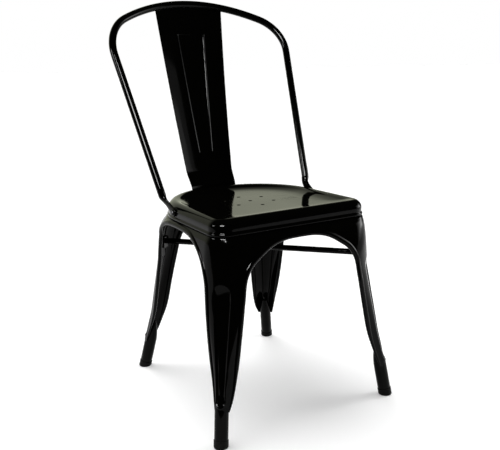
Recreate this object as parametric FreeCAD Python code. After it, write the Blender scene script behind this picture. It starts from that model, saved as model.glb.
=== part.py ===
"""Pressed-steel bistro chair: every physical piece as its own solid, written to parts/NAME.step.

Units are millimetres. The floor is z = 0, the sitter faces -Y, +X is the chair's side that lies to
the right when it is seen from the front. Left and right are mirror images in the plane x = 0.
"""

import FreeCAD, Part
import math
import os

V = FreeCAD.Vector

# Overall size
OVERALL_HEIGHT = 850.0
SHEET = 1.8                      # leg, seat and splat sheet

# Seat rim: a rounded trapezoid, measured along the crest of the rim
RIM_TOP = 431.0
RIM_FRONT = 173.5                # crest to the chair's centre, forwards
RIM_REAR = 162.0                 # the same, backwards
RIM_HALF_WIDTH = 174.0           # at the front line
RIM_TAPER = 0.031                # narrowing of each side per mm of depth
RIM_FRONT_RADIUS = 28.0
RIM_REAR_RADIUS = 157.0
SEAT_FLOOR = 421.3               # flat middle of the dished seat
FRAME_Y = 19.2                   # from the middle of the feet to the middle of the chair's box
BEAD_REACH = 8.6                 # how far the bead stands outside the crest
DRAIN_PITCH = 50.5
DRAIN_DIAMETER = 5.5
DRAIN_CENTRE_Y = -2.0

# Seat profile from the bead to the dish: (distance outside the crest, height)
SEAT_PROFILE = [
    (6.0, 398.6), (7.6, 399.0), (BEAD_REACH, 401.6), (7.8, 404.4), (6.3, 406.0), (6.3, 409.0),
    (6.5, 412.0), (6.5, 416.0), (5.4, 420.0), (3.0, 423.6), (-1.0, 427.4), (-5.5, 430.0),
    (-10.5, RIM_TOP), (-17.0, 429.8), (-26.0, 426.2), (-38.0, 423.2), (-52.0, 421.8),
    (-68.0, SEAT_FLOOR),
]
DISH_CORNER_RADIUS = 9.0         # least corner radius inside the dish

# Legs: stations of the outer corner, (height, corner x, corner depth, corner radius).
# The two outer faces of a leg would meet in a sharp edge at the corner point; the radius rounds it.
FRONT_LEG = [
    (418.0, 177.8, 177.3, 32.0), (400.0, 178.4, 177.9, 32.5), (393.0, 183.6, 186.0, 42.0),
    (386.0, 186.2, 190.5, 48.0), (372.0, 188.6, 195.0, 53.0), (345.0, 191.5, 200.0, 58.0),
    (300.0, 194.0, 203.5, 60.0), (250.0, 196.5, 206.5, 49.0), (200.0, 199.0, 209.0, 35.0),
    (150.0, 201.5, 212.0, 22.0), (110.0, 206.0, 217.3, 15.4), (72.0, 210.8, 222.5, 14.3),
]
REAR_LEG = [
    (418.0, 167.3, 165.8, 160.5), (400.0, 167.9, 166.4, 161.0), (393.0, 171.5, 170.6, 157.0),
    (386.0, 171.5, 171.6, 146.0), (372.0, 166.5, 170.0, 118.0), (345.0, 157.5, 167.5, 76.0),
    (300.0, 156.0, 172.0, 60.0), (250.0, 159.0, 180.5, 48.0), (200.0, 162.0, 189.0, 34.0),
    (150.0, 165.0, 198.0, 22.0), (110.0, 170.1, 209.5, 15.4), (72.0, 176.9, 217.8, 14.3),
]
# Where the side faces of a front and a rear leg meet, half way along the seat
SIDE_SEAM_Y = -2.0
SIDE_SEAM_X = [
    (418.0, 172.4), (400.0, 173.0), (393.0, 178.2), (386.0, 181.2), (372.0, 184.0), (345.0, 186.0),
    (300.0, 188.0), (250.0, 189.0), (200.0, 190.0), (150.0, 191.0), (110.0, 192.0), (72.0, 193.0),
]
# Centre line of the rolled edge round each arch: (distance from the plane of symmetry, or depth for
# the side arches, height), from the top of the arch down to the foot tube
FRONT_ARCH = [
    (0.0, 383.0), (34.5, 381.5), (66.0, 374.0), (95.0, 357.6), (117.5, 340.0), (131.0, 316.8),
    (138.0, 280.3), (147.5, 222.3), (161.5, 147.0), (177.5, 93.0), (187.5, 70.0),
]
REAR_ARCH = [
    (0.0, 383.0), (20.5, 381.0), (41.5, 372.6), (64.0, 356.2), (80.6, 339.6), (91.9, 316.8),
    (100.0, 280.3), (110.5, 222.3), (123.0, 147.0), (138.5, 93.0), (150.5, 70.0),
]
SIDE_ARCH_FRONT = [
    (SIDE_SEAM_Y, 389.5), (-52.5, 387.4), (-81.0, 381.8), (-110.0, 366.8), (-131.5, 345.6),
    (-146.4, 314.7), (-152.5, 275.3), (-160.4, 220.5), (-175.0, 157.0), (-192.0, 111.0),
    (-204.5, 70.0),
]
SIDE_ARCH_REAR = [
    (SIDE_SEAM_Y, 389.5), (36.5, 387.4), (59.0, 381.8), (84.0, 366.8), (100.6, 345.6),
    (114.0, 314.7), (123.5, 275.3), (137.0, 220.5), (156.5, 157.0), (176.5, 111.0),
    (196.5, 70.0),
]
HEM_RADIUS = 3.0                 # rolled edge round each arch
HEM_STEPS = 14
HEM_STAND = 0.5                  # how far the rolled edge stands out of the sheet
PANEL_DEPTH = 1.1                # pressed panel down the corner of each leg
PANEL_TOP = 312.0
PANEL_BOTTOM = 81.0
PANEL_TOP_WIDTH = 38.0
PANEL_BOTTOM_WIDTH = 19.0
PANEL_REACH = 60.0
OVERLAP = 0.3                    # joined shapes run into each other by this much

# Feet
FOOT_DIAMETER = 27.4
FOOT_WALL = 1.8
FRONT_FOOT = (205.7, -218.2)     # centre of the foot on the floor, right-hand side
REAR_FOOT = (175.2, 219.2)
FRONT_SPLAY = (0.129, -0.136)    # outward travel of the foot tube per mm of descent
REAR_SPLAY = (0.177, 0.215)
FOOT_TUBE_TOP = 84.0
GLIDE_DIAMETER = 29.0
GLIDE_HEIGHT = 15.0
GLIDE_FLOOR = 5.0
GLIDE_ROUNDING = 3.0

# Back hoop: a bent tube in a leaning plane, its top bowed backwards
TUBE_DIAMETER = 16.0
TUBE_WALL = 1.5
HOOP_BASE_Y = 51.8               # where the leaning plane crosses HOOP_BASE_Z
HOOP_BASE_Z = 450.0
HOOP_LEAN = math.radians(24.3)
HOOP_BASE_HALF = 183.1
HOOP_SIDE_SLOPE = 0.112
HOOP_SHOULDER_RADIUS = 81.5
HOOP_TOP_RADIUS = 403.0
HOOP_BOW = 34.0
HOOP_SECTIONS = 36
HOOP_END_SECTIONS = 30
HOOP_STEPS = 8                   # points along each of the hoop's three kinds of curve
HOOP_END_THICKNESS = 4.0         # the tube ends are pressed flat where they are bolted on
FIT_GAP = 0.1                    # paint gap between parts that are bolted or pushed together

# Lower end of the tube below the straight side: (depth, height, half width, half thickness)
HOOP_END = [
    (50.3, 443.5, 8.1, 7.8), (46.5, 437.0, 8.7, 5.4), (38.0, 430.5, 9.0, 3.2), (24.0, 423.0, 9.0, 2.0),
    (10.0, 415.5, 9.0, 2.0), (6.4, 411.4, 6.8, 2.0), (4.6, 409.6, 4.0, 1.8),
]

# Back splat: a dished plate, creased near the bottom, lapped behind the seat skirt
SPLAT_TOP_Z = 835.0
SPLAT_TOP_HALF = 84.5
SPLAT_FOOT_Z = 411.0
SPLAT_FOOT_HALF = 55.5
SPLAT_HOLLOW = 7.9               # how far the middle lies behind the edges
SPLAT_LAP_TOP_Z = 426.0
SPLAT_REACH = 6.6                # lap's front face outside the crest of the rim
SPLAT_TOP_Y = 258.4              # depth of the plate's side edges at the hoop
SPLAT_CREASE_Z = 472.0
SPLAT_CREASE_Y = 182.6
SPLAT_BOW = 3.4                  # how far the plate's middle bulges back from a straight line
SPLAT_BANDS = 6
# Depth of the side edges through the crease, (height, depth), between the plate and the lap
SPLAT_KNEE = [
    (472.0, SPLAT_CREASE_Y), (465.0, 180.4), (459.0, 177.4), (440.0, 165.4), (434.0, 162.0),
    (428.0, 160.9),
]
RIB_TOP = 776.0
RIB_BOTTOM = 508.0
RIB_TOP_HALF = 34.0
RIB_BOTTOM_HALF = 17.0
RIB_RADIUS = 2.2
RIB_STEPS = 6
RIB_STAND = 1.1                  # how far a rib stands out of the plate

# Brace under the seat: two round bars that cross, flattened where they meet
BRACE_DIAMETER = 12.7
BRACE_WALL = 1.4
BRACE_Z = 320.0
BRACE_LIFT = 4.6                 # the bars' axes pass above and below BRACE_Z by this much
BRACE_CROSS_Y = 3.2
BRACE_SLOPE = -1.122             # change of depth per mm of width, for the bar that ends front right
BRACE_FLAT_LENGTH = 26.0
BAR_SECTIONS = 24
TAB_THICKNESS = 2.5
TAB_SADDLE = 5.0                 # extra depth, shaped to the inside of the leg
TAB_WIDTH = 26.0
TAB_HEIGHT = 24.0
TAB_BOTTOM = 305.5

OVAL_POINTS = 10                 # points that shape one oval section

# Fasteners
BOLT_DIAMETER = 6.0
BOLT_HEAD_DIAMETER = 11.0
BOLT_HEAD_HEIGHT = 3.0
HOOP_BOLT_Y = 10.0
HOOP_BOLT_Z = 415.0
SKIRT_REACH = 6.5                # outside of the skirt beyond the crest, at the bolts
STACK_DEPTH = 4.6                # skirt and apron sheet together at the bolts
SKIRT_LEAN = 0.1                 # inward lean of the skirt per mm of height
NUT_ACROSS_FLATS = 10.0
NUT_HEIGHT = 5.0
WASHER_DIAMETER = 12.0
WASHER_HEIGHT = 1.2
RIVET_DIAMETER = 6.0
RIVET_HEAD_DIAMETER = 11.0
RIVET_HEAD_HEIGHT = 2.4


def interpolate(table, height, column):
    """Linear value of one column of a station table, highest station first."""
    for upper, lower in zip(table, table[1:]):
        if lower[0] <= height <= upper[0]:
            share = (height - lower[0]) / (upper[0] - lower[0])
            return lower[column] + share * (upper[column] - lower[column])
    return table[0][column] if height > table[0][0] else table[-1][column]


def fillet(before, corner, after, radius):
    """Start, crown, end and centre of the arc that rounds a polygon corner."""
    to_before = (before - corner).normalize()
    to_after = (after - corner).normalize()
    half_angle = to_before.getAngle(to_after) / 2.0
    reach = radius / math.tan(half_angle)
    bisector = (to_before + to_after).normalize()
    centre = corner + bisector * (radius / math.sin(half_angle))
    return corner + to_before * reach, centre - bisector * radius, corner + to_after * reach, centre


def line(start, end):
    return Part.LineSegment(start, end).toShape()


def arc(start, middle, end):
    return Part.Arc(start, middle, end).toShape()


def spline(points):
    curve = Part.BSplineCurve()
    curve.interpolate(points)
    return curve.toShape()


def mirrored(shape):
    """The same piece on the other side of the chair."""
    return shape.mirror(V(0, 0, 0), V(1, 0, 0))


def both_sides(shape):
    return Part.makeCompound([shape, mirrored(shape)])


def section_places(path, count):
    """Evenly spaced places along a curve, each with its heading."""
    places = []
    for step in range(count):
        at = path.getParameterByLength(path.Length * step / count)
        places.append((path.valueAt(at), path.tangentAt(at)))
    places.append((path.valueAt(path.LastParameter), path.tangentAt(path.LastParameter)))
    return places


def rod(path, radius, count):
    """A round bar along one curve."""
    circles = [Part.Wire([Part.makeCircle(radius, place, heading)])
               for place, heading in section_places(path, count)]
    return Part.makeLoft(circles, True, False)


def oval_rod(stations, wide_direction, count):
    """A bar through (centre, half width, half thickness) stations, spaced evenly in between."""
    path = spline([station[0] for station in stations])
    marks = [path.Curve.parameter(station[0]) for station in stations]
    sections = []
    for place, heading in section_places(path, count):
        at = path.Curve.parameter(place)
        index = 0
        while index < len(marks) - 2 and at > marks[index + 1]:
            index += 1
        share = (at - marks[index]) / (marks[index + 1] - marks[index])
        share = min(max(share, 0.0), 1.0)
        wide = stations[index][1] + share * (stations[index + 1][1] - stations[index][1])
        thick = stations[index][2] + share * (stations[index + 1][2] - stations[index][2])
        sections.append(oval(place, heading, wide_direction, wide, thick))
    return Part.makeLoft(sections, True, True)


def oval(centre, along, wide_direction, half_wide, half_thick):
    """Closed oval section square to a path."""
    wide = (wide_direction - along * wide_direction.dot(along)).normalize()
    thick = along.cross(wide).normalize()
    points = []
    for step in range(OVAL_POINTS):
        angle = 2 * math.pi * step / OVAL_POINTS
        sideways = wide * (half_wide * math.cos(angle))
        points.append(centre + sideways + thick * (half_thick * math.sin(angle)))
    curve = Part.BSplineCurve()
    curve.interpolate(points, PeriodicFlag=True)
    return Part.Wire([curve.toShape()])


def side_half_width(y, outside):
    """Half width of the rim at one depth, at a distance outside its crest."""
    slope = math.sqrt(1.0 + RIM_TAPER ** 2)
    return RIM_HALF_WIDTH - RIM_TAPER * (y + RIM_FRONT) + outside * slope


def rim_outline(outside, height):
    """Closed rounded trapezoid at a distance outside the crest of the rim."""
    front = -RIM_FRONT - outside
    rear = RIM_REAR + outside
    corners = [
        V(-side_half_width(front, outside), front, height),
        V(side_half_width(front, outside), front, height),
        V(side_half_width(rear, outside), rear, height),
        V(-side_half_width(rear, outside), rear, height),
    ]
    front_radius = max(RIM_FRONT_RADIUS + outside, DISH_CORNER_RADIUS)
    rear_radius = RIM_REAR_RADIUS + outside
    radii = [front_radius, front_radius, rear_radius, rear_radius]
    arcs = []
    for index, radius in enumerate(radii):
        before = corners[index - 1]
        after = corners[(index + 1) % len(corners)]
        arcs.append(fillet(before, corners[index], after, radius))
    edges = []
    for index, (start, crown, end, centre) in enumerate(arcs):
        edges.append(arc(start, crown, end))
        edges.append(line(end, arcs[(index + 1) % len(arcs)][0]))
    return Part.Wire(edges)


def offset_profile(profile, distance):
    """The profile moved sideways by a distance, towards the inside of the sheet."""
    moved = []
    for index, (reach, height) in enumerate(profile):
        before = profile[max(index - 1, 0)]
        after = profile[min(index + 1, len(profile) - 1)]
        run = after[0] - before[0]
        rise = after[1] - before[1]
        length = math.hypot(run, rise)
        moved.append((reach - distance * rise / length, height + distance * run / length))
    return moved


def seat_solid(profile):
    """Solid under a seat surface, closed by flat faces at both ends of the profile."""
    wires = [rim_outline(reach, height) for reach, height in profile]
    return Part.makeLoft(wires, True, True)


def drain_positions():
    """Six holes in a ring round one, with three of the seven on the chair's centre line."""
    places = [(0.0, DRAIN_CENTRE_Y)]
    for sixth in range(6):
        angle = math.radians(90.0 + 60.0 * sixth)
        x = DRAIN_PITCH * math.cos(angle)
        places.append((x, DRAIN_CENTRE_Y + DRAIN_PITCH * math.sin(angle)))
    return places


def make_seat_pan():
    outer = seat_solid(SEAT_PROFILE)
    under = offset_profile(SEAT_PROFILE[4:], SHEET)
    inside = under[1][0]
    mouth = [(inside, SEAT_PROFILE[0][1] - 2.0), (inside, SEAT_PROFILE[4][1])]
    pan = outer.cut(seat_solid(mouth + under[1:]))
    for x, y in drain_positions():
        pan = pan.cut(Part.makeCylinder(DRAIN_DIAMETER / 2, 30.0, V(x, y, SEAT_FLOOR - 15.0)))
    return pan.cut(hoop_bolt_holes())


def corner_at(stations, side, height, inset=0.0):
    """The rounded outer corner of a leg at one height: the two face lines and their fillet."""
    corner_x = interpolate(stations, height, 1) - inset
    corner_y = side * (interpolate(stations, height, 2) - inset)
    radius = interpolate(stations, height, 3) - inset
    seam_x = interpolate(SIDE_SEAM_X, height, 1) - inset
    middle = V(0, corner_y, height)
    seam = V(seam_x, SIDE_SEAM_Y, height)
    start, crown, end, centre = fillet(middle, V(corner_x, corner_y, height), seam, radius)
    return middle, start, crown, end, seam, centre, radius


def leg_sheet(stations, side, near, far):
    """Curved sheet of a leg between two depths below its outer surface, arches not yet cut."""
    wires = []
    for station in stations:
        a = corner_at(stations, side, station[0], near)
        b = corner_at(stations, side, station[0], far)
        wires.append(Part.Wire([
            line(a[0], a[1]), arc(a[1], a[2], a[3]), line(a[3], a[4]), line(a[4], b[4]),
            line(b[4], b[3]), arc(b[3], b[2], b[1]), line(b[1], b[0]), line(b[0], a[0]),
        ]))
    return Part.makeLoft(wires, True, False)


def side_face_x(stations, side, height, y):
    """Outer surface of the side face at one place along it."""
    middle, start, crown, end, seam, centre, radius = corner_at(stations, side, height)
    if (y - end.y) * side <= 0:
        share = (y - seam.y) / (end.y - seam.y)
        return seam.x + share * (end.x - seam.x)
    return centre.x + math.sqrt(max(radius ** 2 - (y - centre.y) ** 2, 0.0))


def end_face_y(stations, side, height, x):
    """Outer surface of the front or rear face at one distance from the chair's centre."""
    middle, start, crown, end, seam, centre, radius = corner_at(stations, side, height)
    if x <= start.x:
        return start.y
    return centre.y + side * math.sqrt(max(radius ** 2 - (x - centre.x) ** 2, 0.0))


def arch_cutter(arch, side, in_end_face):
    """Prism that opens half an arch, pushed through the front or rear face, or the side face."""
    near, far = 60.0, 320.0

    def place(distance, height):
        if in_end_face:
            return V(distance, side * near, height)
        return V(near, distance, height)

    top = place(*arch[0])
    tip = place(*arch[-1])
    ground_tip = place(arch[-1][0], 0.0)
    overlap = -20.0 if in_end_face else arch[0][0] - side * 20.0
    ground_seam = place(overlap, 0.0)
    top_seam = place(overlap, arch[0][1])
    curve = spline([place(distance, height) for distance, height in arch])
    wire = Part.Wire([curve, line(tip, ground_tip), line(ground_tip, ground_seam),
                      line(ground_seam, top_seam), line(top_seam, top)])
    push = V(0, side * (far - near), 0) if in_end_face else V(far - near, 0, 0)
    return Part.Face(wire).extrude(push)


def hem(stations, side, arch, in_end_face):
    """Rolled edge that follows one arch from the seam down to the foot tube."""
    flat_arch = spline([V(distance, 0, height) for distance, height in arch])
    sunk = HEM_RADIUS - HEM_STAND
    points = []
    for place, heading in section_places(flat_arch, HEM_STEPS):
        if in_end_face:
            y = end_face_y(stations, side, place.z, place.x)
            points.append(V(place.x, y - side * sunk, place.z))
        else:
            x = side_face_x(stations, side, place.z, place.x)
            points.append(V(x - sunk, place.x, place.z))
    return rod(spline(points), HEM_RADIUS, HEM_STEPS)


def foot_axis(foot, splay, height):
    return V(foot[0] - splay[0] * height, foot[1] - splay[1] * height, height)


def foot_tube(foot, splay):
    """The tube below a leg's sheet."""
    low = foot_axis(foot, splay, GLIDE_FLOOR)
    along = foot_axis(foot, splay, FOOT_TUBE_TOP) - low
    outer = Part.makeCylinder(FOOT_DIAMETER / 2, along.Length, low, along)
    bore = Part.makeCylinder(FOOT_DIAMETER / 2 - FOOT_WALL, along.Length, low, along)
    return outer.cut(bore)


def panel_prism(stations, side):
    """Upright domed outline of the pressed corner panel, pushed through the corner."""
    out = V(1, side, 0).normalize()
    across = V(1, -side, 0).normalize()
    top = corner_at(stations, side, PANEL_TOP)[2]
    bottom = corner_at(stations, side, PANEL_BOTTOM)[2]
    top = top - out * PANEL_REACH
    bottom = bottom - out * PANEL_REACH
    tall = (top - bottom).Length
    up = (top - bottom).normalize()
    top_half = PANEL_TOP_WIDTH / 2
    bottom_half = PANEL_BOTTOM_WIDTH / 2

    def place(height, width):
        return bottom + up * height + across * width

    dome_start = tall - PANEL_TOP_WIDTH * 0.45
    bowl_end = PANEL_BOTTOM_WIDTH * 0.3
    dome = arc(place(dome_start, -top_half), place(tall, 0), place(dome_start, top_half))
    bowl = arc(place(bowl_end, bottom_half), place(0, 0), place(bowl_end, -bottom_half))
    left = line(place(bowl_end, -bottom_half), place(dome_start, -top_half))
    right = line(place(dome_start, top_half), place(bowl_end, bottom_half))
    return Part.Face(Part.Wire([left, dome, right, bowl])).extrude(out * (2 * PANEL_REACH))


def make_leg(stations, side, end_arch, side_arch, foot, splay):
    """Right-hand leg with its half aprons, rolled edges, corner panel and foot tube."""
    leg = leg_sheet(stations, side, 0.0, SHEET)
    leg = leg.cut(arch_cutter(end_arch, side, True))
    leg = leg.cut(arch_cutter(side_arch, side, False))
    panel = panel_prism(stations, side)
    skin = leg_sheet(stations, side, -PANEL_DEPTH, PANEL_DEPTH)
    leg = leg.cut(skin.common(panel))
    backing = leg_sheet(stations, side, SHEET - OVERLAP, SHEET + PANEL_DEPTH)
    leg = leg.fuse(backing.common(panel))
    leg = leg.fuse(foot_tube(foot, splay))
    rolled = [hem(stations, side, end_arch, True), hem(stations, side, side_arch, False)]
    return leg.fuse(rolled)


def make_glide(foot, splay):
    """Moulded cap with a rounded underside, pushed over the end of the foot tube."""
    radius = GLIDE_DIAMETER / 2
    low = foot_axis(foot, splay, 0.0)
    along = (foot_axis(foot, splay, FOOT_TUBE_TOP) - low).normalize()
    spare = GLIDE_HEIGHT
    barrel = Part.makeCylinder(radius, GLIDE_HEIGHT + spare, low - along * spare, along)
    above = Part.makeBox(4 * radius, 4 * radius, 4 * GLIDE_HEIGHT, V(low.x - 2 * radius, low.y - 2 * radius, 0))
    cap = barrel.common(above)
    underside = [edge for edge in cap.Edges if edge.BoundBox.ZMax < GLIDE_ROUNDING / 10]
    cap = cap.makeFillet(GLIDE_ROUNDING, underside)
    socket_floor = foot_axis(foot, splay, GLIDE_FLOOR)
    socket = Part.makeCylinder(FOOT_DIAMETER / 2, 2 * GLIDE_HEIGHT, socket_floor, along)
    return cap.cut(socket)


def lean(x, rise, bow=0.0):
    """A point of the hoop's leaning plane, at a distance up the slope."""
    y = HOOP_BASE_Y + rise * math.sin(HOOP_LEAN) + bow
    return V(x, y, HOOP_BASE_Z + rise * math.cos(HOOP_LEAN))


def hoop_half_points():
    """Centre line of the right half: straight side, shoulder, then half of the top."""
    top_rise = (OVERALL_HEIGHT - TUBE_DIAMETER / 2 - HOOP_BASE_Z) / math.cos(HOOP_LEAN)
    centre_rise = top_rise - HOOP_TOP_RADIUS
    length = math.hypot(HOOP_SIDE_SLOPE, 1.0)
    dx = HOOP_SIDE_SLOPE / length
    dr = 1.0 / length
    # the shoulder's centre slides along a line beside the straight side until it meets the top
    from_x = HOOP_BASE_HALF - dr * HOOP_SHOULDER_RADIUS
    from_r = dx * HOOP_SHOULDER_RADIUS - centre_rise
    gap = HOOP_TOP_RADIUS - HOOP_SHOULDER_RADIUS
    b = from_x * dx + from_r * dr
    side_length = -b + math.sqrt(b * b - (from_x ** 2 + from_r ** 2 - gap ** 2))
    bend_x = from_x + dx * side_length
    bend_r = from_r + dr * side_length + centre_rise
    first = math.atan2(-dx, dr)
    last = math.atan2(bend_r - centre_rise, bend_x)
    points = []
    for step in range(HOOP_STEPS):
        along = side_length * step / HOOP_STEPS
        points.append((HOOP_BASE_HALF + dx * along, dr * along))
    for step in range(HOOP_STEPS):
        angle = first + (last - first) * step / HOOP_STEPS
        points.append((bend_x + HOOP_SHOULDER_RADIUS * math.cos(angle),
                       bend_r + HOOP_SHOULDER_RADIUS * math.sin(angle)))
    for step in range(HOOP_STEPS + 1):
        angle = last + (math.pi / 2 - last) * step / HOOP_STEPS
        points.append((HOOP_TOP_RADIUS * math.cos(angle),
                       centre_rise + HOOP_TOP_RADIUS * math.sin(angle)))
    widest = HOOP_BASE_HALF + dx * side_length
    curve = []
    for index, (x, rise) in enumerate(points):
        share = min(x / widest, 1.0)
        bow = HOOP_BOW * (1.0 - share ** 2) if index > HOOP_STEPS else 0.0
        curve.append(lean(x, rise, bow))
    return curve


def hoop_path():
    half = hoop_half_points()
    left = [V(-p.x, p.y, p.z) for p in half]
    return spline(left + half[::-1][1:])


def hoop_stations():
    """Centre, half width and half thickness along the hoop, with both pressed ends."""
    radius = TUBE_DIAMETER / 2
    path = hoop_path()
    bend = [(place, radius, radius) for place, heading in section_places(path, HOOP_SECTIONS)]
    right_end = []
    for y, height, half_wide, half_thick in HOOP_END:
        x = side_half_width(y, SKIRT_REACH) + FIT_GAP + half_thick
        right_end.append((V(x, y, height), half_wide, half_thick))
    left_end = [(V(-place.x, place.y, place.z), wide, thick) for place, wide, thick in right_end]
    return left_end[::-1] + bend + right_end


def make_hoop():
    tube = oval_rod(hoop_stations(), V(0, 1, 0), HOOP_SECTIONS + HOOP_END_SECTIONS)
    inside = TUBE_DIAMETER / 2 - TUBE_WALL
    bore = [(place, inside, inside) for place, heading in section_places(hoop_path(), HOOP_SECTIONS)]
    tube = tube.cut(oval_rod(bore, V(0, 1, 0), HOOP_SECTIONS))
    return tube.cut(hoop_bolt_holes())


def splat_half(height):
    share = (height - SPLAT_FOOT_Z) / (SPLAT_TOP_Z - SPLAT_FOOT_Z)
    return SPLAT_FOOT_HALF + (SPLAT_TOP_HALF - SPLAT_FOOT_HALF) * share


def plate_edge_y(height):
    """Depth of the plate's side edges above the crease."""
    share = (height - SPLAT_CREASE_Z) / (SPLAT_TOP_Z - SPLAT_CREASE_Z)
    bulge = 4.0 * SPLAT_BOW * share * (1.0 - share)
    return SPLAT_CREASE_Y + (SPLAT_TOP_Y - SPLAT_CREASE_Y) * share + bulge


def splat_section(height, edge_y):
    """Curved sheet section of the splat, its side edges at one depth."""
    half = splat_half(height)
    front = [V(-half, edge_y, height), V(0, edge_y + SPLAT_HOLLOW, height), V(half, edge_y, height)]
    back = [p + V(0, SHEET, 0) for p in front]
    return Part.Wire([
        arc(front[0], front[1], front[2]), line(front[2], back[2]),
        arc(back[2], back[1], back[0]), line(back[0], front[0]),
    ])


def splat_front_y(x, height):
    """Front surface of the splat at one place."""
    half = splat_half(height)
    radius = (half ** 2 + SPLAT_HOLLOW ** 2) / (2 * SPLAT_HOLLOW)
    deepest = plate_edge_y(height) + SPLAT_HOLLOW
    return deepest - radius + math.sqrt(radius ** 2 - x ** 2)


def splat_rib(places):
    """A pressed rib through the given places, standing a little out of the plate."""
    points = []
    for x, height in places:
        points.append(V(x, splat_front_y(x, height) + RIB_RADIUS - RIB_STAND, height))
    return rod(spline(points), RIB_RADIUS, RIB_STEPS)


def make_splat():
    lap_y = RIM_REAR + SPLAT_REACH - SPLAT_HOLLOW
    knee = SPLAT_KNEE + [(SPLAT_LAP_TOP_Z, lap_y), (SPLAT_FOOT_Z, lap_y)]
    tab = Part.makeLoft([splat_section(height, edge_y) for height, edge_y in knee], True, True)
    bands = []
    for step in range(SPLAT_BANDS + 1):
        height = SPLAT_TOP_Z + (SPLAT_CREASE_Z - SPLAT_TOP_Z) * step / SPLAT_BANDS
        bands.append(splat_section(height, plate_edge_y(height)))
    plate = Part.makeLoft(bands, True, False)
    ribs = []
    for side in (-1, 1):
        places = []
        for step in range(RIB_STEPS + 1):
            share = step / RIB_STEPS
            x = RIB_TOP_HALF + (RIB_BOTTOM_HALF - RIB_TOP_HALF) * share
            places.append((side * x, RIB_TOP + (RIB_BOTTOM - RIB_TOP) * share))
        ribs.append(splat_rib(places))
    across = [RIB_TOP_HALF * (2.0 * step / RIB_STEPS - 1.0) for step in range(RIB_STEPS + 1)]
    ribs.append(splat_rib([(x, RIB_TOP) for x in across]))
    splat = plate.cut(rod(hoop_path(), TUBE_DIAMETER / 2, HOOP_SECTIONS))
    for rib in ribs:
        splat = splat.fuse(rib)
    return splat.fuse(tab)


def brace_heading(towards_front):
    """Plan direction of a bar towards its end on the right-hand side."""
    along = V(1, BRACE_SLOPE if towards_front else -BRACE_SLOPE, 0)
    return along.normalize()


def tab_face(stations, side):
    """Where a bar's axis reaches the inner face of its tab, just inside a leg's corner."""
    heading = brace_heading(side < 0)
    travels = []
    for height in (TAB_BOTTOM, TAB_BOTTOM + TAB_HEIGHT):
        inset = SHEET + PANEL_DEPTH
        middle, start, crown, end, seam, centre, radius = corner_at(stations, side, height, inset)
        offset = V(0, BRACE_CROSS_Y, height) - centre
        b = offset.dot(heading)
        sag = radius - math.sqrt(radius ** 2 - (TAB_WIDTH / 2) ** 2)
        reach = math.sqrt(b * b - (offset.dot(offset) - radius ** 2))
        travels.append(reach - b - sag)
    return V(0, BRACE_CROSS_Y, BRACE_Z) + heading * (min(travels) - TAB_THICKNESS)


def brace_bar(front_end, rear_end, lift, shrink):
    """Solid bar from a front corner to the opposite rear corner, flattened at the crossing."""
    along = (rear_end - front_end).normalize()
    middle = V(0, BRACE_CROSS_Y, BRACE_Z + lift)
    radius = BRACE_DIAMETER / 2 - shrink
    flat = abs(lift) - shrink
    wide = BRACE_DIAMETER - abs(lift) * 1.1 - shrink
    flat_step = along * (BRACE_FLAT_LENGTH / 2)
    round_step = along * (BRACE_FLAT_LENGTH * 1.3)
    settle = V(0, 0, -lift)
    stations = [
        (front_end, radius, radius),
        (front_end + (middle + settle - front_end) * 0.5, radius, radius),
        (middle - round_step * 1.6 + settle, radius, radius),
        (middle - round_step + settle * 0.8, radius, radius),
        (middle - flat_step + settle * 0.1, wide, flat),
        (middle, wide, flat),
        (middle + flat_step + settle * 0.1, wide, flat),
        (middle + round_step + settle * 0.8, radius, radius),
        (middle + round_step * 1.6 + settle, radius, radius),
        (rear_end + (middle + settle - rear_end) * 0.4, radius, radius),
        (rear_end, radius, radius),
    ]
    across = V(0, 0, 1).cross(along)
    return oval_rod(stations, across, BAR_SECTIONS)


def make_brace_bar(front_side, lift):
    front_end = tab_face(FRONT_LEG, -1)
    rear_end = tab_face(REAR_LEG, 1)
    front_end.x *= front_side
    rear_end.x *= -front_side
    bar = brace_bar(front_end, rear_end, lift, 0.0)
    bar = bar.cut(brace_bar(front_end, rear_end, lift, BRACE_WALL))
    hole = Part.makeCylinder(RIVET_DIAMETER / 2, 60.0, V(0, BRACE_CROSS_Y, BRACE_Z - 30.0))
    return bar.cut(hole)


def make_brace_tab(stations, side):
    """Small upright plate that joins a bar's end to the inside of a right-hand leg."""
    heading = brace_heading(side < 0)
    face = tab_face(stations, side)
    thick = TAB_THICKNESS + TAB_SADDLE
    plate = Part.makeBox(thick, TAB_WIDTH, TAB_HEIGHT, V(0, -TAB_WIDTH / 2, 0))
    edges = [edge for edge in plate.Edges if edge.BoundBox.XLength > thick / 2]
    plate = plate.makeFillet(TAB_THICKNESS, edges)
    plate.rotate(V(0, 0, 0), V(0, 0, 1), math.degrees(math.atan2(heading.y, heading.x)))
    plate.translate(V(face.x, face.y, TAB_BOTTOM))
    plate = plate.cut(leg_sheet(stations, side, -2 * TAB_SADDLE, SHEET))
    backing = leg_sheet(stations, side, 0.0, SHEET + PANEL_DEPTH)
    return plate.cut(backing.common(panel_prism(stations, side)))


def rivet_head(top, direction):
    head = Part.makeCylinder(RIVET_HEAD_DIAMETER / 2, RIVET_HEAD_HEIGHT, top, V(0, 0, direction))
    rim = top.z + direction * RIVET_HEAD_HEIGHT
    edges = [edge for edge in head.Edges
             if abs(edge.BoundBox.ZMin - rim) < 0.01 and abs(edge.BoundBox.ZMax - rim) < 0.01]
    return head.makeFillet(RIVET_HEAD_HEIGHT * 0.8, edges)


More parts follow.
